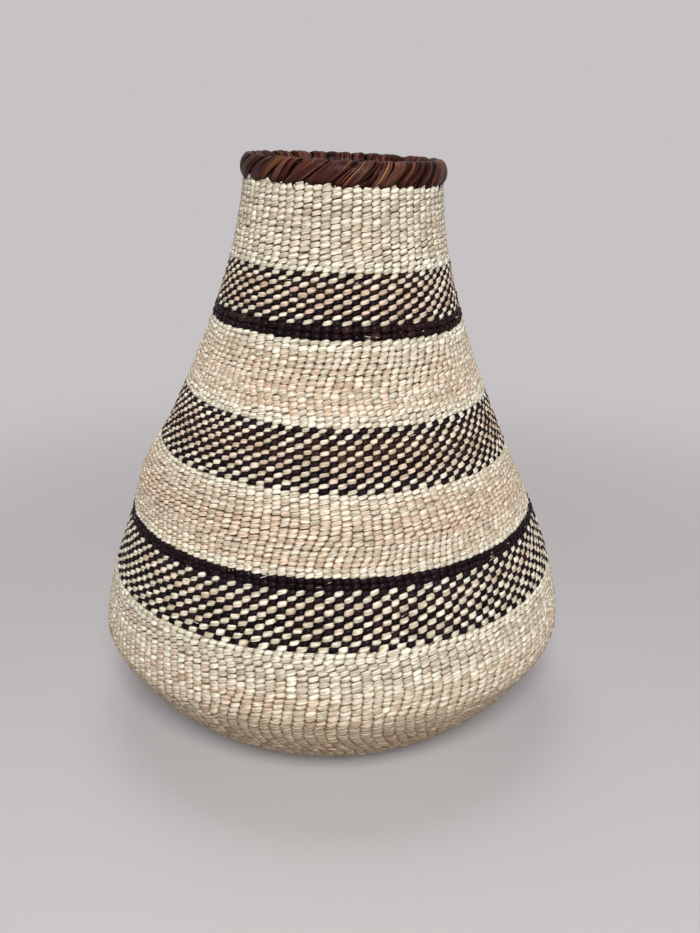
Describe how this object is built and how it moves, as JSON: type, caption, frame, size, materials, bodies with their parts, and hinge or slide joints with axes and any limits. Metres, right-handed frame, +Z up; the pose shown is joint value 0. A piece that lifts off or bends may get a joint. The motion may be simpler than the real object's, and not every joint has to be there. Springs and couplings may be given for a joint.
{
  "type": "woven basket",
  "caption": "Tall gourd-shaped twined basket with a wide low belly, a narrow neck, checked and dark bands, and a rim overcast with a dark strip.",
  "frame": {"origin": "middle of the flat resting face under the base", "axes": "+Z up along the basket, +X to the right as the picture sees it, +Y away from its viewer"},
  "size_m": [0.2789, 0.279, 0.3365],
  "materials": {
    "natural_palm": "dry natural palm leaf, matte with a faint sheen along the strands",
    "checked_palm": "natural and dyed palm strands twined together in a check",
    "dyed_palm": "palm leaf dyed nearly black, with a low sheen",
    "stake_palm": "flat strips of palm midrib, matte",
    "hoop_cane": "bent cane, matte",
    "bark": "dark red-brown bark strip, polished by handling"
  },
  "bodies": {
    "root": {"long_stake_1": "stake_palm", "long_stake_2": "stake_palm", "long_stake_3": "stake_palm", "long_stake_4": "stake_palm", "long_stake_5": "stake_palm", "long_stake_6": "stake_palm", "added_stake_1": "stake_palm", "added_stake_2": "stake_palm", "added_stake_3": "stake_palm", "added_stake_4": "stake_palm", "added_stake_5": "stake_palm", "added_stake_6": "stake_palm", "added_stake_7": "stake_palm", "added_stake_8": "stake_palm", "added_stake_9": "stake_palm", "added_stake_10": "stake_palm", "added_stake_11": "stake_palm", "added_stake_12": "stake_palm", "base_weave": "natural_palm", "underside_weave": "natural_palm", "low_check_band": "checked_palm", "low_dark_rows": "dyed_palm", "middle_natural_weave": "natural_palm", "mid_check_band": "checked_palm", "upper_natural_weave": "natural_palm", "high_dark_rows": "dyed_palm", "high_check_band": "checked_palm", "neck_natural_weave": "natural_palm", "rim_hoop": "hoop_cane", "rim_binding": "bark", "belly_weave": "natural_palm"}
  },
  "joints": []
}
